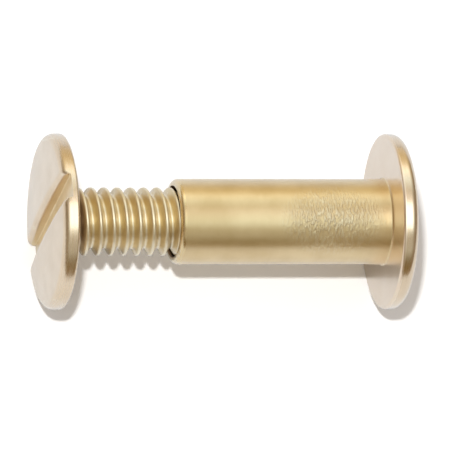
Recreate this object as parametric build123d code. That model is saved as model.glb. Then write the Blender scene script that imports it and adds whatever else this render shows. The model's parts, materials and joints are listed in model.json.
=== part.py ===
"""Binding barrel screw: a domed barrel nut and the slotted screw that turns into it.

Frame: X runs along the common axis, from the screw's head to the barrel's head, and Z is up.
The origin is where the axis meets the seat of the barrel's head, the flat that bears on the
stack. The pair lies on its side on the rims of its heads, and the screw's slot is upright, so
that its corners stop the roll.
"""
from build123d import *
import math
import os

# --- Driving dimensions, millimetres and degrees ---

# Heads: both are turned to the same outline
head_diameter = 10.3
rim_height = 0.92            # seat to the corner where rim and dome would meet
dome_rise = 0.23             # that corner to the top of the dome
dome_edge_radius = 0.5       # arc that the bevels at that corner follow
seat_edge_chamfer = 0.15     # breaks the edge between rim and seat

# Barrel
barrel_length = 12.7         # seat to mouth, half an inch
barrel_wall = 0.45
mouth_edge_chamfer = 0.28    # outer edge of the mouth
mouth_land = 0.09            # least width of the flat that the chamfer leaves round the bore
bore_floor = 2.1             # end of the full bore to the seat
drill_point_angle = 118

# Thread: 32 turns to the inch, right-handed, in the usual form
thread_pitch = 25.4 / 32
thread_diameter = 4.0        # over the screw's crests
thread_angle = 60            # between flanks
thread_depth_share = 5 / 8   # depth over the height of the sharp triangle between the flanks
crest_share = 1 / 8          # width of the crest over the pitch
thread_clearance = 0.05      # radial, from the screw's crests to the barrel's bore
thread_start_angle = 217     # turn of the whole thread about the axis, from the slot's direction

# Screw
tip_clearance = 1.3          # tip to the end of the full bore, when the screw is turned right in
neck_length = 0.3            # shank without thread under the head
neck_cone_length = 0.1       # low cone between seat and neck, as wide as the barrel's bore
tip_chamfer = 0.4
slot_width = 1.5
slot_floor = 0.4             # metal left between the slot and the seat
slot_lip_chamfer = 0.22      # along both edges of the slot

# How the pair lies
engaged_length = 2.6         # of the screw, inside the barrel

# How far one body of a union reaches into the other, or a cutter past what it cuts
overlap = 0.04

# --- Worked out from the above ---

head_radius = head_diameter / 2
head_height = rim_height + dome_rise
sharp_height = thread_pitch / 2 / math.tan(math.radians(thread_angle / 2))
thread_depth = thread_depth_share * sharp_height
crest_width = crest_share * thread_pitch
crest_circle = thread_diameter / 2
root_circle = crest_circle - thread_depth
bore_radius = crest_circle + thread_clearance
barrel_radius = bore_radius + barrel_wall
bore_depth = barrel_length - bore_floor
screw_length = bore_depth - tip_clearance
grip_at_rest = barrel_length + screw_length - engaged_length


def corner_of(section, point):
    """The section's corner nearest to a point."""
    return section.vertices().sort_by_distance(point)[0]


def head_section(way, shank):
    """Half section of a head and what is behind it, with the dome facing along X by way's sign.

    The edge of the dome is broken by two bevels, which lie on an arc tangent to rim and dome.
    """
    dome_slope = 2 * math.degrees(math.atan(dome_rise / head_radius))
    edge_turn = 90 - dome_slope
    radius = min(dome_edge_radius, rim_height - seat_edge_chamfer)
    centre = (rim_height - radius * math.tan(math.radians(edge_turn / 2)), head_radius - radius)
    bevels = [(way * (centre[0] + radius * math.sin(math.radians(turn))),
               centre[1] + radius * math.cos(math.radians(turn)))
              for turn in (0, edge_turn / 2, edge_turn)]
    dome_radius = bevels[-1][1]
    dome_top = head_height - abs(bevels[-1][0])
    crown_radius = (dome_radius**2 + dome_top**2) / (2 * dome_top)
    seat_corner = (0, head_radius)
    top = (way * head_height, 0)
    with BuildSketch() as section:
        with BuildLine():
            RadiusArc(bevels[-1], top, way * crown_radius)
            Polyline(*bevels[::-1], seat_corner, *shank, top)
        make_face()
        chamfer(corner_of(section, seat_corner), seat_edge_chamfer)
    return section.sketch


def make_barrel():
    """The barrel nut: domed head, barrel and blind bore with a drill point."""
    mouth = -barrel_length
    bore_end = -bore_floor
    drill_point = bore_end + bore_radius / math.tan(math.radians(drill_point_angle / 2))
    root = (0, barrel_radius)
    lip = (mouth, barrel_radius)
    section = head_section(1, [root, lip, (mouth, bore_radius), (bore_end, bore_radius), (drill_point, 0)])
    section = chamfer(corner_of(section, lip), min(mouth_edge_chamfer, barrel_wall - mouth_land))
    return revolve(section, Axis.X)


def make_ridge():
    """The thread's ridge, one face to a turn, from behind the seat of the screw's head past the tip."""
    half_crest = crest_width / 2
    half_base = half_crest + (thread_depth + overlap) * math.tan(math.radians(thread_angle / 2))
    turn = Helix(thread_pitch, thread_pitch, root_circle, direction=(1, 0, 0))
    turns = math.ceil(screw_length / thread_pitch) + 1
    path = Wire([(Pos(i * thread_pitch, 0, 0) * turn).edge() for i in range(-1, turns)])
    start = path @ 0
    outwards = Vector(0, start.Y, start.Z).normalized()
    plane = Plane(origin=start, x_dir=outwards, z_dir=Vector(1, 0, 0).cross(outwards))
    with BuildSketch(plane) as profile:
        with BuildLine():
            Polyline((-overlap, -half_base), (thread_depth, -half_crest),
                     (thread_depth, half_crest), (-overlap, half_base), close=True)
        make_face()
    return sweep(profile.sketch, path=path, is_frenet=True)


def make_thread_waste():
    """What is turned off the ridge: all of it on the neck, the cone of its run-out, and the tip."""
    outside = crest_circle + overlap
    far = screw_length + 3 * thread_pitch
    with BuildSketch() as section:
        with BuildLine():
            Polyline((0, bore_radius), (neck_cone_length, root_circle), (neck_length, root_circle),
                     (neck_length + outside - root_circle, outside),
                     (screw_length - tip_chamfer - overlap, outside),
                     (screw_length, crest_circle - tip_chamfer), (screw_length, 0),
                     (far, 0), (far, 2 * outside), (0, 2 * outside), close=True)
        make_face()
    return revolve(section.sketch, Axis.X)


def make_screw():
    """The slotted screw: domed head, straight slot with broken edges, and threaded shank."""
    core = [(0, bore_radius), (neck_cone_length, root_circle), (screw_length, root_circle), (screw_length, 0)]
    turned = revolve(head_section(-1, core), Axis.X) + make_ridge() - make_thread_waste()
    screw = Rot(thread_start_angle, 0, 0) * turned
    screw -= Pos(-slot_floor, 0, 0) * Box(2 * head_height, slot_width, 2 * head_diameter,
                                          align=(Align.MAX, Align.CENTER, Align.CENTER))
    lips = [edge for edge in screw.edges()
            if math.isclose(abs(edge.center().Y), slot_width / 2, abs_tol=1e-3)
            and edge.length > head_radius and edge.center().X < -slot_floor - overlap]
    return chamfer(lips, min(slot_lip_chamfer, (rim_height - slot_floor) / 2))


os.makedirs("parts", exist_ok=True)
export_step(make_barrel(), "parts/barrel.step")
export_step(Pos(-grip_at_rest, 0, 0) * make_screw(), "parts/screw.step")
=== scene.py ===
"""Dresses the binding barrel screw: a domed barrel nut and the slotted screw turned into it.

Both pieces are turned brass under a thin lacquer. Each class builds one sub-assembly round the
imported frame, in metres, with X along the common axis and +Z up.
"""
import json
import logging
import math
from dataclasses import dataclass, field
from enum import Enum
from typing import Callable, Iterable, Sequence

import bpy
from mathutils import Matrix, Vector


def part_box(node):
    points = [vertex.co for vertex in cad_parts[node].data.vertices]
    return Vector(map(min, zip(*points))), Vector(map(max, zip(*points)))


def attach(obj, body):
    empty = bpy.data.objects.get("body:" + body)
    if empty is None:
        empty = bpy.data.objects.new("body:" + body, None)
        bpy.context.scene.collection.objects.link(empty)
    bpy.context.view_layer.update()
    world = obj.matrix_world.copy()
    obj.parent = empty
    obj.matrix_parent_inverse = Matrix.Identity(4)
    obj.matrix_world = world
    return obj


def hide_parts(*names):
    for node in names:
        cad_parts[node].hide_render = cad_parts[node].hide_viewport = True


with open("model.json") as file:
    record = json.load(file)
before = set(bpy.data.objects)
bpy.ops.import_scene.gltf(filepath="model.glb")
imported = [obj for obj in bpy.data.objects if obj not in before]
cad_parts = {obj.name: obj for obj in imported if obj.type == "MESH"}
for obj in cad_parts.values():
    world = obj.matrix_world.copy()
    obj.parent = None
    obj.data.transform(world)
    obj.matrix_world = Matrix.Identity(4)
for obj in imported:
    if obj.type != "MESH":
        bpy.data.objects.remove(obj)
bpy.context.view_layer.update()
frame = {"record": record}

LOG = logging.getLogger("binding_screw")
MM = 0.001
INCH = 25.4 * MM
NO_LENGTH = 1e-7
Profile = list[tuple[float, float]]
Colour = tuple[float, float, float]
Piece = bpy.types.Object
Material = bpy.types.Material
Node = bpy.types.Node
Group = bpy.types.NodeTree
Socket = bpy.types.NodeSocket


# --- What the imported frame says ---

def mount(name: str) -> dict:
    """Finds one of the record's mounts.

    Args:
        name: The mount's name.

    Returns:
        The mount as the record gives it.
    """
    return next(entry for entry in frame["record"]["mounts"] if entry["name"] == name)


BARREL_LOW, BARREL_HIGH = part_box("barrel")
SCREW_TIP_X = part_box("screw")[1][0]
BARREL_RADIUS = mount("barrel_pin")["dims"]["r_mm"] * MM
SCREW_SEAT_X = mount("screw_head_seat")["pos_m"][0]
HEAD_RADIUS = BARREL_HIGH[2]
HEAD_HEIGHT = BARREL_HIGH[0]


# --- Meshes ---

class MeshBuilder:
    """Collects points and faces of one piece and makes its object."""

    def __init__(self) -> None:
        """Starts an empty mesh."""
        self.points: list[tuple[float, float, float]] = []
        self.faces: list[Sequence[int]] = []
        self.finishes: list[int] = []

    def point(self, x: float, y: float, z: float) -> int:
        """Adds a point and returns its number."""
        self.points.append((x, y, z))
        return len(self.points) - 1

    def face(self, corners: Sequence[int], finish: int) -> None:
        """Adds a face with the number of its finish, leaving out corners that repeat."""
        kept = list(dict.fromkeys(corners))
        if len(kept) > 2:
            self.faces.append(kept)
            self.finishes.append(finish)

    def ring(self, x: float, radii: Sequence[float]) -> list[int]:
        """Adds a ring of points round the X axis.

        Args:
            x: Where the ring lies on the axis.
            radii: The radius of each point, evenly spread from +Y towards +Z.

        Returns:
            The points' numbers.
        """
        step = 2 * math.pi / len(radii)
        return [self.point(x, radius * math.cos(i * step), radius * math.sin(i * step))
                for i, radius in enumerate(radii)]

    def bridge(self, first: Sequence[int], second: Sequence[int], finish: int, closed: bool = True) -> None:
        """Joins two rows of points by a strip of quads.

        Args:
            first: One row. A strip faces outwards when the rows run from +Y to +Z and first is at lower X.
            second: The other row, with as many points.
            finish: The number of the strip's finish.
            closed: Whether the rows are rings.
        """
        count = len(first) if closed else len(first) - 1
        for i in range(count):
            j = (i + 1) % len(first)
            self.face((first[i], first[j], second[j], second[i]), finish)

    def lathe(self, profile: Profile, segments: int, finish: Callable[[float, float], int]) -> None:
        """Turns a profile round the X axis.

        Args:
            profile: (x, radius) points. A radius of zero makes a pole.
            segments: How many facets go round.
            finish: Gives the finish number of a strip from the x and radius of its middle.
        """
        profile = with_guards(profile)
        rows: list[list[int]] = []
        for x, radius in profile:
            if radius < NO_LENGTH:
                rows.append([self.point(x, 0, 0)] * segments)
            else:
                rows.append(self.ring(x, [radius] * segments))
        for i, (start, end) in enumerate(zip(profile, profile[1:])):
            self.bridge(rows[i], rows[i + 1], finish((start[0] + end[0]) / 2, (start[1] + end[1]) / 2))

    def make(self, name: str, finishes: Sequence[Material], crease: float = 35) -> Piece:
        """Makes the object.

        Args:
            name: The piece's name.
            finishes: The materials that the finish numbers stand for.
            crease: Edges that turn more than this many degrees stay crisp.

        Returns:
            The new object, linked to the scene.
        """
        mesh = bpy.data.meshes.new(name)
        mesh.from_pydata(self.points, [], self.faces)
        for material in finishes:
            mesh.materials.append(material)
        mesh.polygons.foreach_set("material_index", self.finishes)
        mesh.polygons.foreach_set("use_smooth", [True] * len(mesh.polygons))
        mesh.update()
        mesh.validate()
        mesh.set_sharp_from_angle(angle=math.radians(crease))
        piece = bpy.data.objects.new(name, mesh)
        bpy.context.scene.collection.objects.link(piece)
        LOG.info("%s: %d points, %d faces", name, len(mesh.vertices), len(mesh.polygons))
        return piece


def arc(centre: tuple[float, float], radius: float, start: float, end: float, steps: int) -> Profile:
    """Points along an arc.

    Args:
        centre: The arc's centre.
        radius: Its radius.
        start: Angle of the first point in degrees, from the first coordinate towards the second.
        end: Angle of the last point.
        steps: How many parts the arc is cut into.

    Returns:
        steps + 1 points.
    """
    angles = [math.radians(start + (end - start) * i / steps) for i in range(steps + 1)]
    return [(centre[0] + radius * math.cos(a), centre[1] + radius * math.sin(a)) for a in angles]


def with_guards(profile: Profile, guard: float = 0.02 * MM) -> Profile:
    """Adds a point close to both ends of each long stretch, so that its shading stays flat.

    Args:
        profile: The points.
        guard: How close the added points lie.

    Returns:
        The profile with the added points.
    """
    long_stretch = 10 * guard
    guarded = [profile[0]]
    for start, end in zip(profile, profile[1:]):
        length = math.dist(start, end)
        if length > long_stretch:
            for share in (guard / length, 1 - guard / length):
                guarded.append(tuple(a + (b - a) * share for a, b in zip(start, end)))
        guarded.append(end)
    return guarded


@dataclass(frozen=True)
class HeadOutline:
    """Half section of a domed head, measured from its seat."""

    radius: float = HEAD_RADIUS
    height: float = HEAD_HEIGHT
    rim_height: float = 0.92 * MM
    edge_radius: float = 0.5 * MM
    seat_radius: float = 0.17 * MM
    rim_share: float = 0.6

    @property
    def crown_radius(self) -> float:
        """Radius of the dome."""
        rise = self.height - self.rim_height
        return (self.radius**2 + rise**2) / (2 * rise)

    @property
    def edge_centre(self) -> tuple[float, float]:
        """Centre of the arc between rim and dome, as height and radius."""
        across = self.radius - self.edge_radius
        along = math.sqrt((self.crown_radius - self.edge_radius) ** 2 - across**2)
        return self.height - self.crown_radius + along, across

    @property
    def rim_inner(self) -> float:
        """Radius on the edge arc from which the finish is the rim's."""
        return self.edge_centre[1] + self.rim_share * self.edge_radius

    @property
    def dome_slope(self) -> float:
        """Slope in degrees where the dome meets its edge arc."""
        return math.degrees(math.asin(self.edge_centre[1] / (self.crown_radius - self.edge_radius)))

    def top(self, radius: float) -> float:
        """Height of the head's upper surface.

        Args:
            radius: Distance from the axis.

        Returns:
            The height over the seat.
        """
        edge_start = self.crown_radius * math.sin(math.radians(self.dome_slope))
        if radius <= edge_start:
            return self.height - self.crown_radius + math.sqrt(self.crown_radius**2 - radius**2)
        reach = min(radius - self.edge_centre[1], self.edge_radius)
        return self.edge_centre[0] + math.sqrt(self.edge_radius**2 - reach**2)

    def dome_profile(self) -> Profile:
        """(height, radius) points from the middle of the dome to the top of the rim."""
        crown = arc((self.height - self.crown_radius, 0), self.crown_radius, 0, self.dome_slope, steps=36)
        edge = arc(self.edge_centre, self.edge_radius, self.dome_slope, 90, steps=14)
        return crown + edge[1:]

    def seat_profile(self) -> Profile:
        """(height, radius) points from the bottom of the rim to the flat of the seat."""
        centre = (self.seat_radius, self.radius - self.seat_radius)
        return arc(centre, self.seat_radius, 90, 180, steps=8)


def soft_min(a: float, b: float, width: float) -> float:
    """The lesser of two lengths, rounded over where they cross.

    Args:
        a: One length.
        b: The other.
        width: How wide the rounding is.

    Returns:
        The lesser length, a little less near the crossing.
    """
    mix = max(width - abs(a - b), 0) / width
    return min(a, b) - mix * mix * width / 4


@dataclass(frozen=True)
class ThreadForm:
    """The rolled thread, right-handed, with flat crests and roots whose corners are rounded.

    One crest stands crest_x from the screw's seat, crest_angle round the axis from +Y.
    """

    pitch: float = INCH / 32
    crest_circle: float = 2.0 * MM
    depth: float = 0.43 * MM
    crest_width: float = INCH / 32 / 5
    rounding: float = 0.1 * MM
    flank_angle: float = 30
    crest_x: float = 0.17 * MM
    crest_angle: float = 24.5

    def drop(self, x: float, angle: float) -> float:
        """How far the surface lies below the crest.

        Args:
            x: Distance from the screw's seat along the axis.
            angle: Angle round the axis in degrees, from +Y towards +Z.

        Returns:
            The drop from the crest circle.
        """
        turn = (x - self.crest_x) / self.pitch - (angle - self.crest_angle) / 360
        off = abs(turn - round(turn)) * self.pitch
        flank = (off - self.crest_width / 2) / math.tan(math.radians(self.flank_angle))
        return -soft_min(-soft_min(flank, self.depth, self.rounding), 0, self.rounding)


# --- Finishes ---

# Part of the noise's range over which a mark goes from none to full
MARK_RANGE = (0.42, 0.62)

PALE_BRASS = (0.88, 0.70, 0.50)
PALE_DULL = (0.80, 0.62, 0.42)


class Lay(Enum):
    """Which way the turning marks of a finish run."""

    ROUND_SHANK = "round_shank"
    RINGS_ON_FACE = "rings_on_face"


class ShaderBuilder:
    """Short calls for building a shader node tree."""

    def __init__(self, tree: Group) -> None:
        """Clears the tree and keeps it."""
        self.tree = tree
        tree.nodes.clear()

    def add(self, kind: str, inputs: dict | None = None, **settings) -> Node:
        """Adds a node.

        Args:
            kind: The node's type.
            inputs: Input name or number to a value or to the output that feeds it.
            settings: Properties of the node.

        Returns:
            The node.
        """
        node = self.tree.nodes.new(kind)
        for key, value in settings.items():
            setattr(node, key, value)
        for key, value in (inputs or {}).items():
            if isinstance(value, Socket):
                self.tree.links.new(value, node.inputs[key])
            else:
                node.inputs[key].default_value = value
        return node

    def maths(self, operation: str, *values: float | Socket, clamp: bool = False) -> Socket:
        """Adds a Math node and returns its output."""
        node = self.add("ShaderNodeMath", dict(enumerate(values)), operation=operation, use_clamp=clamp)
        return node.outputs[0]

    def fade(self, value: Socket, start: float | Socket, end: float | Socket) -> Socket:
        """Goes from 0 where the value is start to 1 where it is end."""
        return self.add("ShaderNodeMapRange", {0: value, 1: start, 2: end}).outputs[0]

    def mix(self, share: float | Socket, first: Colour | Socket, second: Colour | Socket) -> Socket:
        """Mixes two colours.

        Args:
            share: How much of the second there is.
            first: The colour at 0.
            second: The colour at 1.

        Returns:
            The mixed colour.
        """
        node = self.add("ShaderNodeMix", {0: share}, data_type="RGBA")
        for key, colour in ((6, first), (7, second)):
            if isinstance(colour, Socket):
                self.tree.links.new(colour, node.inputs[key])
            else:
                node.inputs[key].default_value = (*colour, 1)
        return node.outputs[2]

    def place_in_mm(self) -> tuple[Socket, Socket, Socket]:
        """The x, y and z of the place on the object, in millimetres."""
        place = self.add("ShaderNodeSeparateXYZ", {0: self.add("ShaderNodeTexCoord").outputs["Object"]})
        return tuple(self.maths("MULTIPLY", output, 1 / MM) for output in place.outputs)

    def axis_distance(self, y: Socket, z: Socket) -> Socket:
        """Distance from the X axis."""
        squares = [self.maths("POWER", value, 2.0) for value in (y, z)]
        return self.maths("SQRT", self.maths("ADD", *squares))

    def ramp(self, factor: Socket, stops: Iterable[tuple[float, Colour]]) -> Socket:
        """Adds a colour ramp.

        Args:
            factor: What drives it.
            stops: Position and colour of each stop.

        Returns:
            The ramp's colour output.
        """
        node = self.add("ShaderNodeValToRGB", {0: factor})
        elements = node.color_ramp.elements
        stops = list(stops)
        while len(elements) < len(stops):
            elements.new(1)
        for element, (position, colour) in zip(elements, stops):
            element.position = position
            element.color = (*colour, 1)
        return node.outputs[0]


def new_group(name: str, inputs: dict[str, float], outputs: Sequence[str]
              ) -> tuple[Group, ShaderBuilder, Node, Node]:
    """Starts a shader node group.

    Args:
        name: The group's name.
        inputs: Name and default of each number that it takes.
        outputs: Name of each number that it gives.

    Returns:
        The group, its builder, its input node and its output node.
    """
    group = bpy.data.node_groups.new(name, "ShaderNodeTree")
    for label, default in inputs.items():
        socket = group.interface.new_socket(name=label, in_out="INPUT", socket_type="NodeSocketFloat")
        socket.default_value = default
    for label in outputs:
        group.interface.new_socket(name=label, in_out="OUTPUT", socket_type="NodeSocketFloat")
    build = ShaderBuilder(group)
    return group, build, build.add("NodeGroupInput"), build.add("NodeGroupOutput")


def make_turning_marks() -> Group:
    """Fine marks that a turning tool leaves: a height and a mask, round the shank or in rings on a face.

    Returns:
        The node group.
    """
    group, build, given, out = new_group(
        "turning_marks", {"Per millimetre": 14, "Unevenness": 0.5, "On face": 0}, ["Height", "Mask"])
    x, y, z = build.place_in_mm()
    across = build.add("ShaderNodeMix", {0: given.outputs["On face"], 2: x, 3: build.axis_distance(y, z)})
    fine = build.maths("MULTIPLY", across.outputs[0], given.outputs["Per millimetre"])
    drift_y = build.maths("MULTIPLY", given.outputs["Unevenness"], y)
    drift_z = build.maths("MULTIPLY", given.outputs["Unevenness"], z)
    vector = build.add("ShaderNodeCombineXYZ", {"X": fine, "Y": drift_y, "Z": drift_z}).outputs[0]
    lines = build.add("ShaderNodeTexNoise", {"Vector": vector, "Scale": 1.0, "Detail": 3.0, "Roughness": 0.6})
    build.tree.links.new(lines.outputs[0], out.inputs["Height"])
    build.tree.links.new(build.fade(lines.outputs[0], *MARK_RANGE), out.inputs["Mask"])
    return group


def make_burnish_and_sheen() -> Group:
    """Short burnishing marks round the shank, gathered in a patch round one place.

    The finish also uses this mask for a paler colour, a painted streaky highlight.

    Returns:
        The node group.
    """
    group, build, given, out = new_group(
        "burnish", {"Centre x": 0, "Centre y": 0, "Centre z": 0, "Half length": 3.4, "Half width": 2.4,
                    "Along per millimetre": 9.0, "Round per millimetre": 2.8}, ["Mask"])
    x, y, z = build.place_in_mm()
    along, round_shank = (given.outputs[label] for label in ("Along per millimetre", "Round per millimetre"))
    streaks = build.add("ShaderNodeCombineXYZ", {
        "X": build.maths("MULTIPLY", x, along), "Y": build.maths("MULTIPLY", y, round_shank),
        "Z": build.maths("MULTIPLY", z, round_shank)})
    short = build.add("ShaderNodeTexNoise", {"Vector": streaks.outputs[0], "Scale": 1.0, "Detail": 2.0,
                                             "Roughness": 0.6})
    marks = build.fade(short.outputs[0], *MARK_RANGE)
    squares = []
    for axis, value, half in (("x", x, "Half length"), ("y", y, "Half width"), ("z", z, "Half width")):
        off = build.maths("SUBTRACT", value, given.outputs[f"Centre {axis}"])
        squares.append(build.maths("POWER", build.maths("DIVIDE", off, given.outputs[half]), 2.0))
    reach = build.maths("ADD", build.maths("ADD", squares[0], squares[1]), squares[2])
    near = build.maths("SUBTRACT", 1.0, reach, clamp=True)
    build.tree.links.new(build.maths("MULTIPLY", marks, near), out.inputs["Mask"])
    return group


def make_tarnish() -> Group:
    """Soft cloudy change of tone over the metal.

    Returns:
        The node group.
    """
    group, build, given, out = new_group(
        "tarnish", {"Per millimetre": 0.5, "Start": 0.35, "End": 0.65}, ["Mask"])
    place = build.add("ShaderNodeMapping", {"Vector": build.add("ShaderNodeTexCoord").outputs["Object"],
                                            "Scale": (1 / MM, 1 / MM, 1 / MM)}, vector_type="POINT")
    clouds = build.add("ShaderNodeTexNoise", {"Vector": place.outputs[0], "Detail": 3.0, "Roughness": 0.5,
                                              "Scale": given.outputs["Per millimetre"]})
    mask = build.fade(clouds.outputs[0], given.outputs["Start"], given.outputs["End"])
    build.tree.links.new(mask, out.inputs["Mask"])
    return group


def make_edge_wear() -> Group:
    """A mask that is bright where the surface turns sharply outwards.

    Returns:
        The node group.
    """
    group, build, given, out = new_group("edge_wear", {"Start": 0.53, "End": 0.6}, ["Mask"])
    pointed = build.add("ShaderNodeNewGeometry").outputs["Pointiness"]
    mask = build.fade(pointed, given.outputs["Start"], given.outputs["End"])
    build.tree.links.new(mask, out.inputs["Mask"])
    return group


def make_thread_highlight() -> Group:
    """A mask that is bright on the crests and in the roots of a thread, where painted highlight lines go.

    Returns:
        The node group.
    """
    group, build, given, out = new_group(
        "die_rub", {"Crest radius": 2.0, "Root radius": 1.57, "Reach": 0.06}, ["Mask"])
    _, y, z = build.place_in_mm()
    radius = build.axis_distance(y, z)
    under_crest = build.maths("SUBTRACT", given.outputs["Crest radius"], radius)
    over_root = build.maths("SUBTRACT", radius, given.outputs["Root radius"])
    off = build.maths("MINIMUM", under_crest, over_root)
    near = build.maths("SUBTRACT", 1.0, build.maths("DIVIDE", off, given.outputs["Reach"]), clamp=True)
    build.tree.links.new(near, out.inputs["Mask"])
    return group


@dataclass
class Effects:
    """The effects that the finishes share."""

    turning_marks: Group = field(default_factory=make_turning_marks)
    # Burnishing marks, whose mask also carries a painted streaky highlight.
    burnish: Group = field(default_factory=make_burnish_and_sheen)
    tarnish: Group = field(default_factory=make_tarnish)
    edge_wear: Group = field(default_factory=make_edge_wear)
    # Painted highlight lines on a thread's crests and roots.
    thread_highlight: Group = field(default_factory=make_thread_highlight)


@dataclass(frozen=True)
class BrassFinish:
    """Turned brass under a thin lacquer.

    A patch of burnishing marks can sit round a given middle, and its paler colour is a painted streaky
    highlight; a thread's crests and roots can get painted highlight lines of a given strength; and painted
    shade can start at a given x beside the head, which then goes on to the lower end.
    """

    name: str
    colour: Colour = (0.86, 0.66, 0.36)
    dull_colour: Colour = (0.76, 0.56, 0.28)
    roughness: float = 0.3
    marks_roughness: float = 0.05
    marks_per_mm: float = 14
    marks_height: float = 0.002
    lay: Lay = Lay.ROUND_SHANK
    lacquer: float = 1.0
    lacquer_roughness: float = 0.2
    lacquer_ior: float = 1.6
    # Middle of a patch of burnishing marks with a painted streaky highlight.
    burnish: tuple[float, float, float] | None = None
    # How strong the painted highlight lines on a thread's crests and roots are.
    thread_highlight: float = 0.0
    # Where painted shade starts on the shank beside the head, and how softly it fades in.
    neck_shade_x: float | None = None
    neck_shade_fade: float = 0.12 * MM
    worn_colour: Colour = (0.95, 0.86, 0.66)
    worn_share: float = 0.4
    # Paler colour painted on a thread's crests and roots as highlight lines.
    thread_highlight_colour: Colour = (0.95, 0.85, 0.65)
    # Paler colour over the patch of burnishing marks, a painted streaky highlight.
    burnish_sheen_colour: Colour = (0.95, 0.85, 0.62)
    burnish_sheen_share: float = 0.5
    burnish_height: float = 15.0
    # Painted shade beside the head.
    neck_shade_colour: Colour = (0.2, 0.11, 0.05)

    def make(self, effects: Effects) -> Material:
        """Makes the material.

        Args:
            effects: The shared node groups.

        Returns:
            The material.
        """
        material = bpy.data.materials.new(self.name)
        material.use_nodes = True
        build = ShaderBuilder(material.node_tree)
        on_face = 1.0 if self.lay is Lay.RINGS_ON_FACE else 0.0
        marks = build.add("ShaderNodeGroup", node_tree=effects.turning_marks)
        marks.inputs["Per millimetre"].default_value = self.marks_per_mm
        marks.inputs["On face"].default_value = on_face
        clouds = build.add("ShaderNodeGroup", node_tree=effects.tarnish)
        worn = build.add("ShaderNodeGroup", node_tree=effects.edge_wear)
        shade = build.mix(clouds.outputs["Mask"], self.colour, self.dull_colour)
        share = build.maths("MULTIPLY", worn.outputs["Mask"], self.worn_share)
        shade = build.mix(share, shade, self.worn_colour)
        # Painted highlight lines on the thread's crests and roots.
        if self.thread_highlight:
            highlighted = build.add("ShaderNodeGroup", node_tree=effects.thread_highlight)
            share = build.maths("MULTIPLY", highlighted.outputs["Mask"], self.thread_highlight)
            shade = build.mix(share, shade, self.thread_highlight_colour)
        # Painted shade on the shank, darker towards the head, standing for the shade under the head's seat.
        if self.neck_shade_x is not None:
            unshaded_x, shaded_x = self.neck_shade_x + self.neck_shade_fade, self.neck_shade_x - self.neck_shade_fade
            neck_shade = build.fade(build.place_in_mm()[0], unshaded_x / MM, shaded_x / MM)
            shade = build.mix(neck_shade, shade, self.neck_shade_colour)
        height = marks.outputs["Height"]
        # Burnishing marks as bumps, with a paler colour over their patch that paints a streaky highlight.
        if self.burnish is not None:
            marked = build.add("ShaderNodeGroup", node_tree=effects.burnish)
            for axis, centre in zip("xyz", self.burnish):
                marked.inputs[f"Centre {axis}"].default_value = centre / MM
            dents = build.maths("MULTIPLY", marked.outputs["Mask"], self.burnish_height)
            height = build.maths("ADD", height, dents)
            share = build.maths("MULTIPLY", marked.outputs["Mask"], self.burnish_sheen_share)
            shade = build.mix(share, shade, self.burnish_sheen_colour)
        roughness = build.maths("ADD", self.roughness,
                                build.maths("MULTIPLY", marks.outputs["Mask"], self.marks_roughness))
        bump = build.add("ShaderNodeBump", {"Height": height, "Strength": 0.5,
                                            "Distance": self.marks_height * MM})
        shader = build.add("ShaderNodeBsdfPrincipled", {
            "Base Color": shade, "Metallic": 1.0, "Roughness": roughness,
            "Normal": bump.outputs[0], "Coat Weight": self.lacquer, "Coat Roughness": self.lacquer_roughness,
            "Coat IOR": self.lacquer_ior})
        build.add("ShaderNodeOutputMaterial", {0: shader.outputs[0]})
        return material


# --- The barrel nut ---

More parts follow.
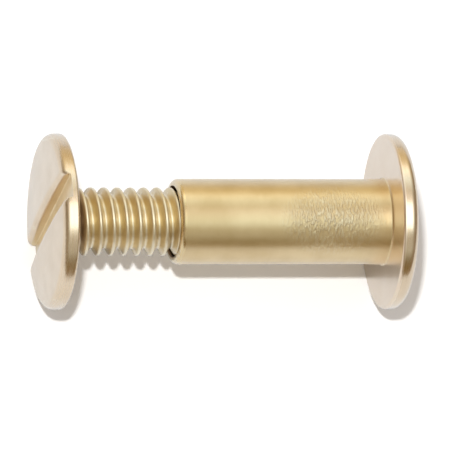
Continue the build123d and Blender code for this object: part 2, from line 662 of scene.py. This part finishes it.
@dataclass
class BarrelNut:
    """The domed head, its barrel and the threaded bore."""

    outline: HeadOutline
    thread: ThreadForm
    mouth_x: float = BARREL_LOW[0]
    radius: float = BARREL_RADIUS
    root_radius: float = 0.1 * MM
    flare: float = 0.035 * MM
    flare_length: float = 1.6 * MM
    mouth_radius: float = 0.3 * MM
    bore_edge: float = 0.07 * MM
    bore_radius: float = 2.05 * MM
    bore_depth: float = 10.6 * MM
    bore_groove: float = 0.16 * MM
    drill_point_angle: float = 118
    segments: int = 224
    flare_steps: int = 12
    bore_rows: int = 300
    bore_segments: int = 128

    @property
    def fillet_start(self) -> float:
        """Radius where the seat's flat meets the fillet at the barrel's root."""
        return self.radius + self.root_radius + self.flare

    def head_profile(self) -> Profile:
        """Profile from the middle of the dome to the fillet."""
        return self.outline.dome_profile() + self.outline.seat_profile() + [(0, self.fillet_start)]

    def tube_profile(self) -> Profile:
        """Profile from the fillet to the bore."""
        profile = arc((-self.root_radius, self.fillet_start), self.root_radius, 0, -90, steps=8)
        for i in range(1, self.flare_steps + 1):
            x = self.root_radius + (self.flare_length - self.root_radius) * i / self.flare_steps
            profile.append((-x, self.radius + self.flare * (1 - x / self.flare_length) ** 2))
        centre = (self.mouth_x + self.mouth_radius, self.radius - self.mouth_radius)
        profile += arc(centre, self.mouth_radius, 90, 180, steps=10)
        profile.append((self.mouth_x, self.bore_radius + self.bore_edge))
        return profile

    def part_of(self, x: float, radius: float) -> int:
        """Which finish a place on the outside has.

        Args:
            x: Where it lies on the axis.
            radius: Its distance from the axis.

        Returns:
            0 on the dome, 1 on the rim, 2 on the seat, 3 on the barrel and 4 at the mouth.
        """
        if x > self.outline.seat_radius:
            return 0 if radius < self.outline.rim_inner else 1
        if radius > self.radius + self.root_radius:
            return 2
        return 3 if x > self.mouth_x + self.mouth_radius else 4

    def build_outside(self, name: str, profile: Profile, finishes: Sequence[Material]) -> Piece:
        """Makes a piece of the outside.

        Args:
            name: The piece's name.
            profile: Its profile, from the dome's side towards the mouth.
            finishes: Dome, rim, seat, barrel and mouth.

        Returns:
            The piece.
        """
        builder = MeshBuilder()
        builder.lathe(profile[::-1], self.segments, self.part_of)
        return builder.make(name, finishes)

    def build_bore(self, finish: Material) -> Piece:
        """Makes the threaded wall of the bore and its drill point.

        Args:
            finish: The bore's material.

        Returns:
            The piece.
        """
        builder = MeshBuilder()
        end = self.mouth_x + self.bore_depth
        fade = self.thread.pitch
        last: list[int] = []
        for i in range(self.bore_rows + 1):
            x = self.mouth_x + self.bore_depth * i / self.bore_rows
            depth = x - self.mouth_x
            groove = self.bore_groove * min(depth / fade, (end - x) / fade, 1)
            opening = max(self.bore_edge - depth, 0)
            radii = []
            for j in range(self.bore_segments):
                drop = self.thread.drop(x - SCREW_SEAT_X, j * 360 / self.bore_segments)
                radii.append(self.bore_radius + opening + groove * max(1 - drop / self.thread.depth, 0))
            row = builder.ring(x, radii)
            if last:
                builder.bridge(row, last, 0)
            last = row
        point_length = self.bore_radius / math.tan(math.radians(self.drill_point_angle / 2))
        tip = builder.point(end + point_length, 0, 0)
        builder.bridge([tip] * self.bore_segments, last, 0)
        return builder.make("barrel_bore", [finish])

    def dress(self, effects: Effects) -> list[Piece]:
        """Builds, finishes and places the pieces.

        Args:
            effects: The shared node groups.

        Returns:
            The polished pieces.
        """
        dome = BrassFinish("barrel_dome_brass", lay=Lay.RINGS_ON_FACE, colour=PALE_BRASS,
                           dull_colour=PALE_DULL, roughness=0.28, marks_height=0.0008).make(effects)
        rim = BrassFinish("barrel_rim_brass", colour=PALE_BRASS, dull_colour=PALE_DULL, roughness=0.2,
                          lacquer_roughness=0.1).make(effects)
        seat = BrassFinish("barrel_seat_brass", lay=Lay.RINGS_ON_FACE, colour=(0.96, 0.78, 0.60),
                           dull_colour=(0.93, 0.74, 0.55), roughness=0.3, marks_height=0.0004,
                           marks_roughness=0.02).make(effects)
        # The burnishing patch sits on the barrel's highlight; its paler colour paints a streaky highlight.
        shank = BrassFinish("barrel_shank_brass", roughness=0.36, marks_height=0.004,
                            burnish=(-3.6 * MM, -0.9 * MM, 2.3 * MM)).make(effects)
        mouth = BrassFinish("barrel_mouth_brass", roughness=0.24, lacquer_roughness=0.12).make(effects)
        # The bore is coloured a near-black brown: painted shade for the shade inside the bore.
        bore_shade = BrassFinish("barrel_bore_brass", colour=(0.24, 0.14, 0.06), dull_colour=(0.15, 0.08, 0.04),
                           roughness=0.45, lacquer=0.0).make(effects)
        finishes = (dome, rim, seat, shank, mouth)
        head = self.build_outside("barrel_head", self.head_profile(), finishes)
        tube = self.build_outside("barrel_tube", self.tube_profile(), finishes)
        bore = self.build_bore(bore_shade)
        for piece in (head, tube, bore):
            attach(piece, "barrel")
        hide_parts("barrel")
        return [head]


# --- The slotted screw ---

@dataclass
class SlottedScrew:
    """The slotted domed head and its threaded shank."""

    outline: HeadOutline
    thread: ThreadForm
    seat_x: float = SCREW_SEAT_X
    tip_x: float = SCREW_TIP_X
    slot_width: float = 1.5 * MM
    slot_floor: float = 0.4 * MM
    lip_radius: float = 0.34 * MM
    lip_share: float = 0.45
    corner_radius: float = 0.05 * MM
    neck_length: float = 0.3 * MM
    neck_radius: float = 1.5 * MM
    neck_cone: float = 0.1 * MM
    cone_radius: float = 2.05 * MM
    run_out_rounding: float = 0.04 * MM
    tip_chamfer: float = 0.4 * MM
    tip_rounding: float = 0.06 * MM
    end_rounding: float = 0.08 * MM
    end_bulge: float = 0.008 * MM
    rows: int = 96
    dome_columns: int = 76
    lip_columns: int = 8
    wall_columns: int = 4
    corner_columns: int = 3
    floor_columns: int = 5
    shank_segments: int = 168
    rows_per_pitch: int = 32

    @property
    def length(self) -> float:
        """Length of the shank."""
        return self.tip_x - self.seat_x

    def column_places(self) -> list[tuple[float, float, float]]:
        """The slot's cross section from one side of the head to its middle.

        Returns:
            For each column its y, the share of the lip's drop and the share of the wall's fall.
        """
        half = self.slot_width / 2
        places = []
        lip_start = math.degrees(math.asin(-(half + self.lip_radius) / self.outline.radius))
        for i in range(self.dome_columns):
            angle = -90 + (lip_start + 90) * i / self.dome_columns
            places.append((self.outline.radius * math.sin(math.radians(angle)), 0.0, 0.0))
        for i in range(self.lip_columns + 1):
            turn = math.radians(90 * i / self.lip_columns)
            places.append((-half - self.lip_radius * (1 - math.sin(turn)), 1 - math.cos(turn), 0.0))
        for i in range(1, self.wall_columns + 1):
            places.append((-half, 1.0, i / self.wall_columns))
        for i in range(1, self.corner_columns + 1):
            turn = math.radians(90 * i / self.corner_columns)
            places.append((-half + self.corner_radius * (1 - math.cos(turn)), 1.0, 1 + math.sin(turn)))
        floor_edge = self.corner_radius - half
        for i in range(1, self.floor_columns + 1):
            places.append((floor_edge - floor_edge * i / self.floor_columns, 1.0, 2.0))
        return places

    def height(self, y: float, z: float, lip: float, fall: float) -> float:
        """Height of the head's upper surface over the seat.

        Args:
            y: Across the slot.
            z: Along the slot.
            lip: Share of the lip's drop, 0 on the dome and 1 at the wall.
            fall: Share of the wall's fall, 1 where the corner starts and 2 on the floor.

        Returns:
            The height.
        """
        dome = self.outline.top(math.hypot(y, z))
        drop = min(self.lip_radius, self.lip_share * (dome - self.slot_floor))
        top = dome - lip * drop
        corner = self.slot_floor + min(self.corner_radius, (top - self.slot_floor) / 2)
        if fall <= 1:
            return top + (corner - top) * fall
        return corner - (corner - self.slot_floor) * (fall - 1)

    def build_head(self, finishes: Sequence[Material]) -> Piece:
        """Makes the slotted head.

        Args:
            finishes: Dome, rim and slot.

        Returns:
            The piece.
        """
        builder = MeshBuilder()
        half = self.column_places()
        places = half + [(-y, lip, fall) for y, lip, fall in half[-2::-1]]
        lip_end = self.dome_columns + self.lip_columns
        outer = lip_end + 1
        down = self.wall_columns + self.corner_columns
        radius = self.outline.radius
        floor_x = self.seat_x - self.slot_floor
        grid: list[list[int]] = []
        for y, lip, fall in places:
            reach = math.sqrt(max(radius**2 - y**2, 0))
            if reach < NO_LENGTH:
                end = builder.point(self.seat_x - self.height(y, 0, lip, fall), y, 0)
                grid.append([end] * (self.rows + 1))
                continue
            column = []
            for k in range(self.rows + 1):
                z = reach * math.sin(math.pi / 2 * (2 * k / self.rows - 1))
                column.append(builder.point(self.seat_x - self.height(y, z, lip, fall), y, z))
            grid.append(column)
        for c in range(len(places) - 1):
            inside = lip_end <= c <= len(places) - 2 - lip_end
            for k in range(self.rows):
                corners = (grid[c][k], grid[c][k + 1], grid[c + 1][k + 1], grid[c + 1][k])
                reach = min(math.hypot(*builder.points[corner][1:]) for corner in corners)
                builder.face(corners, 2 if inside else (0 if reach < self.outline.rim_inner else 1))

        # the rim goes down from the edge of the upper surface to the level of the slot's floor
        last = len(places) - 1
        sides = (list(range(outer)), [last - c for c in range(outer)])
        rims: dict[tuple[int, int], list[int]] = {}
        for side, inwards in zip(sides, (1, -1)):
            for k in (0, self.rows):
                for column in side[:-1]:
                    x, y, z = builder.points[grid[column][k]]
                    rims[column, k] = [grid[column][k]] + [
                        builder.point(x + (floor_x - x) * j / down, y, z) for j in range(1, down + 1)]
                rims[side[-1], k] = [grid[side[-1] + inwards * j][k] for j in range(down + 1)]
            rims[side[0], self.rows] = rims[side[0], 0]
            for k in (0, self.rows):
                for first, second in zip(side, side[1:]):
                    pair = (rims[first, k], rims[second, k])
                    outwards = (k == 0) == (inwards == 1)
                    builder.bridge(*(pair[::-1] if outwards else pair), 1, closed=False)

        # from there it goes down in whole rings, over the rounded edge and across the seat
        level = [[rims[c, k][-1] for c in sides[0]]
                 + [grid[c][k] for c in range(outer + down, last - outer - down + 1)]
                 + [rims[c, k][-1] for c in reversed(sides[1])] for k in (0, self.rows)]
        ring = level[1] + level[0][-2:0:-1]
        levels: Profile = [(self.slot_floor - (self.slot_floor - self.outline.seat_radius) * i / 2, radius)
                           for i in (1, 2)]
        levels += self.outline.seat_profile()[1:]
        levels += [(0, self.cone_radius), (-self.neck_cone, self.neck_radius)]
        for height, level_radius in with_guards(levels):
            row = []
            for start in ring:
                _, y, z = builder.points[start]
                share = level_radius / math.hypot(y, z)
                row.append(builder.point(self.seat_x - height, y * share, z * share))
            builder.bridge(row, ring, 1)
            ring = row
        return builder.make("screw_head", finishes)

    def shank_radius(self, x: float, angle: float) -> float:
        """Radius of the threaded shank.

        Args:
            x: Distance from the seat.
            angle: Angle round the axis in degrees.

        Returns:
            The radius.
        """
        form = self.thread
        root = form.crest_circle - form.depth
        ridge = form.crest_circle - form.drop(x, angle)
        run_out = root + max(x - self.neck_length, 0)
        tip = form.crest_circle - self.tip_chamfer + (self.length - x)
        return soft_min(soft_min(ridge, run_out, self.run_out_rounding), tip, self.tip_rounding)

    def build_shank(self, finish: Material) -> Piece:
        """Makes the threaded shank.

        Args:
            finish: The thread's material.

        Returns:
            The piece.
        """
        builder = MeshBuilder()
        around = self.shank_segments
        rows = round(self.length / self.thread.pitch * self.rows_per_pitch)
        last: list[int] = []
        for i in range(rows + 1):
            x = self.length * i / rows
            radii = [self.shank_radius(x, j * 360 / around) for j in range(around)]
            row = builder.ring(self.seat_x + x, radii)
            if last:
                builder.bridge(last, row, 0)
            last = row
        for turn in (30, 60, 90):
            bulge = math.sin(math.radians(turn))
            inwards = self.end_rounding * (bulge + 1 - math.cos(math.radians(turn))) / 2
            radii = [math.hypot(*builder.points[p][1:]) - inwards for p in last]
            row = builder.ring(self.tip_x + self.end_bulge * bulge, radii)
            builder.bridge(last, row, 0)
            last = row
        centre = builder.point(self.tip_x + self.end_bulge, 0, 0)
        builder.bridge(last, [centre] * around, 0)
        return builder.make("screw_thread", [finish], crease=60)

    def dress(self, effects: Effects) -> list[Piece]:
        """Builds, finishes and places the pieces.

        Args:
            effects: The shared node groups.

        Returns:
            The polished pieces.
        """
        dome = BrassFinish("screw_dome_brass", lay=Lay.RINGS_ON_FACE, colour=PALE_BRASS,
                           dull_colour=PALE_DULL, roughness=0.28, marks_height=0.0008).make(effects)
        rim = BrassFinish("screw_rim_brass", colour=PALE_BRASS, dull_colour=PALE_DULL, roughness=0.25,
                          lacquer_roughness=0.12).make(effects)
        slot = BrassFinish("screw_slot_brass", roughness=0.3, marks_per_mm=6).make(effects)
        # The thread gets painted highlight lines on its crests and roots, and painted shade next to the head.
        thread = BrassFinish("screw_thread_brass", colour=(0.82, 0.66, 0.38), dull_colour=(0.74, 0.58, 0.32),
                             roughness=0.42, marks_per_mm=5, lacquer_roughness=0.15, thread_highlight=0.7,
                             neck_shade_x=self.seat_x + 0.9 * MM).make(effects)
        head = self.build_head((dome, rim, slot))
        shank = self.build_shank(thread)
        for piece in (head, shank):
            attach(piece, "screw")
        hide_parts("screw")
        return [head, shank]


# --- The studio ---

WHITE = (1.0, 1.0, 1.0)
COOL = (0.88, 1.0, 1.0)
CREAM = (1.0, 1.0, 0.87)
WARM = (1.0, 0.92, 0.76)
GOLD = (1.0, 0.83, 0.5)
AMBER = (1.0, 0.65, 0.2)


@dataclass(frozen=True)
class Glow:
    """What metal sees of the room in one direction."""

    angle: float
    strength: float
    tint: Colour

    @property
    def light(self) -> Colour:
        """The light that comes from there."""
        return tuple(self.strength * part for part in self.tint)


# Angles run in degrees from the horizon in front, over the top, to the horizon behind
DIM_FRONT = [Glow(0, 0.22, AMBER), Glow(14, 0.24, GOLD), Glow(25, 0.55, CREAM), Glow(47, 0.48, WARM)]
FRONT_WINDOW = [Glow(58, 1.15, COOL), Glow(69, 1.3, COOL), Glow(90, 1.15, WHITE)]
CEILING_BAR = [Glow(107, 0.7, WARM)]
BACK_WINDOW = [Glow(125, 1.2, COOL), Glow(138, 1.15, CREAM)]
BACK_WALL = [Glow(152, 0.8, GOLD), Glow(166, 0.65, GOLD), Glow(180, 0.8, WARM)]
ROOM = DIM_FRONT + FRONT_WINDOW + CEILING_BAR + BACK_WINDOW + BACK_WALL


@dataclass(frozen=True)
class Lamp:
    """An area lamp that looks at the middle of the screw.

    Direction is where it hangs, seen from the screw. Glossy says whether metal shows it, and diffuse
    whether the floor is lit by it.
    """

    name: str
    direction: tuple[float, float, float]
    size: tuple[float, float]
    power: float
    colour: Colour = WHITE
    distance: float = 0.5
    glossy: bool = True
    diffuse: bool = True

    def hang(self, target: Vector) -> bpy.types.Object:
        """Hangs the lamp.

        Args:
            target: The place that it looks at.

        Returns:
            The lamp, linked to the scene.
        """
        data = bpy.data.lights.new(self.name, "AREA")
        data.shape = "RECTANGLE"
        data.size, data.size_y = self.size
        data.energy = self.power
        data.color = self.colour
        lamp = bpy.data.objects.new(self.name, data)
        back = Vector(self.direction).normalized()
        up = back.cross(Vector((1, 0, 0))).normalized()
        side = up.cross(back)
        lamp.matrix_world = Matrix.Translation(target + back * self.distance) @ Matrix(
            (side, up, back)).transposed().to_4x4()
        lamp.visible_glossy = self.glossy
        lamp.visible_diffuse = self.diffuse
        lamp.visible_camera = False
        bpy.context.scene.collection.objects.link(lamp)
        return lamp


KEY = Lamp("key", (-0.269, -0.234, 0.934), (0.02, 0.02), 1.7, glossy=False)
GLINT = Lamp("glint", (0, -0.29, 0.956), (0.6, 0.3), 0.5, (0.97, 1, 1), diffuse=False)
BACK_CARD = Lamp("back_card", (0, 0.74, 0.67), (0.6, 0.12), 0.07, (1, 0.97, 0.93), diffuse=False)


@dataclass
class Studio:
    """Camera, floor, lamps and background."""

    swing: float = 13.9
    lift: float = 65.5
    distance: float = 0.6
    lens: float = 819
    aim_x: float = -9.53 * MM
    aim_drop: float = 0.2 * MM
    floor_z: float = BARREL_LOW[2]
    floor_front: float = 0.045
    floor_back: float = 0.4
    floor_bounce: Colour = (0.69, 0.73, 0.77)
    ambient: Colour = (0.57, 0.54, 0.515)
    ends: Colour = (0.30, 0.25, 0.18)
    ends_start: float = 0.4
    ends_full: float = 0.85

    def axes(self) -> tuple[Vector, Vector, Vector]:
        """The camera's right, up and backward directions."""
        swing, lift = math.radians(self.swing), math.radians(self.lift)
        back = Vector((-math.sin(swing), -math.cos(swing) * math.cos(lift), math.cos(swing) * math.sin(lift)))
        up = Vector((0, math.sin(lift), math.cos(lift)))
        return up.cross(back), up, back

    def place_camera(self) -> None:
        """Sets the camera over the screw, swung towards the slotted head."""
        right, up, back = self.axes()
        data = bpy.data.cameras.new("camera")
        data.lens = self.lens
        data.sensor_width = 36
        data.clip_start = 0.01
        data.clip_end = 10
        camera = bpy.data.objects.new("camera", data)
        aim = Vector((self.aim_x, 0, 0)) - up * self.aim_drop
        camera.matrix_world = Matrix.Translation(aim + back * self.distance) @ Matrix(
            (right, up, back)).transposed().to_4x4()
        bpy.context.scene.collection.objects.link(camera)
        bpy.context.scene.camera = camera

    def lay_floor(self) -> None:
        """Makes the plain white floor, which keeps the shadow."""
        mesh = bpy.data.meshes.new("floor")
        side, front, back = self.floor_back, -self.floor_front, self.floor_back
        corners = [(-side, front), (side, front), (side, back), (-side, back)]
        mesh.from_pydata([(x, y, self.floor_z) for x, y in corners], [], [(0, 1, 2, 3)])
        floor = bpy.data.objects.new("floor", mesh)
        material = bpy.data.materials.new("floor_white")
        material.use_nodes = True
        build = ShaderBuilder(material.node_tree)
        path = build.add("ShaderNodeLightPath")
        colour = build.mix(path.outputs["Is Camera Ray"], self.floor_bounce, WHITE)
        paint = build.add("ShaderNodeBsdfDiffuse", {"Color": colour})
        build.add("ShaderNodeOutputMaterial", {0: paint.outputs[0]})
        mesh.materials.append(material)
        bpy.context.scene.collection.objects.link(floor)

    def light_world(self) -> None:
        """Sets a white background, and a soft room round the metal that is dim low down in front."""
        world = bpy.data.worlds.new("room")
        world.use_nodes = True
        bpy.context.scene.world = world
        build = ShaderBuilder(world.node_tree)
        place = build.add("ShaderNodeSeparateXYZ", {0: build.add("ShaderNodeTexCoord").outputs["Generated"]})
        rise = build.maths("ARCTAN2", place.outputs[2], build.maths("MULTIPLY", place.outputs[1], -1.0))
        room = build.ramp(build.maths("DIVIDE", rise, math.pi, clamp=True),
                          [(glow.angle / 180, glow.light) for glow in ROOM])
        sideways = build.maths("ABSOLUTE", place.outputs[0])
        room = build.mix(build.fade(sideways, self.ends_start, self.ends_full), room, self.ends)
        path = build.add("ShaderNodeLightPath")
        soft = build.add("ShaderNodeBackground", {"Color": (*self.ambient, 1)})
        seen = build.add("ShaderNodeBackground", {"Color": room})
        white = build.add("ShaderNodeBackground", {"Color": (*WHITE, 1)})
        by_metal = build.add("ShaderNodeMixShader", {0: path.outputs["Is Glossy Ray"], 1: soft.outputs[0],
                                                     2: seen.outputs[0]})
        by_eye = build.add("ShaderNodeMixShader", {0: path.outputs["Is Camera Ray"], 1: by_metal.outputs[0],
                                                   2: white.outputs[0]})
        build.add("ShaderNodeOutputWorld", {0: by_eye.outputs[0]})

    def set_up(self, polished: Sequence[Piece]) -> None:
        """Makes the whole studio.

        Args:
            polished: The pieces that the glint lamp is kept to.
        """
        self.place_camera()
        self.lay_floor()
        self.light_world()
        middle = Vector((self.aim_x, 0, 0))
        KEY.hang(middle)
        glint = GLINT.hang(middle)
        BACK_CARD.hang(middle)
        receivers = bpy.data.collections.new("polished")
        for piece in polished:
            receivers.objects.link(piece)
        glint.light_linking.receiver_collection = receivers
        view = bpy.context.scene.view_settings
        view.view_transform = "Standard"
        LOG.info("studio ready")


def main() -> None:
    """Builds both pieces and the studio in order."""
    logging.basicConfig(level=logging.INFO, format="%(message)s")
    effects = Effects()
    outline = HeadOutline()
    thread = ThreadForm()
    polished = BarrelNut(outline, thread).dress(effects) + SlottedScrew(outline, thread).dress(effects)
    Studio().set_up(polished)


if __name__ == "__main__":
    main()
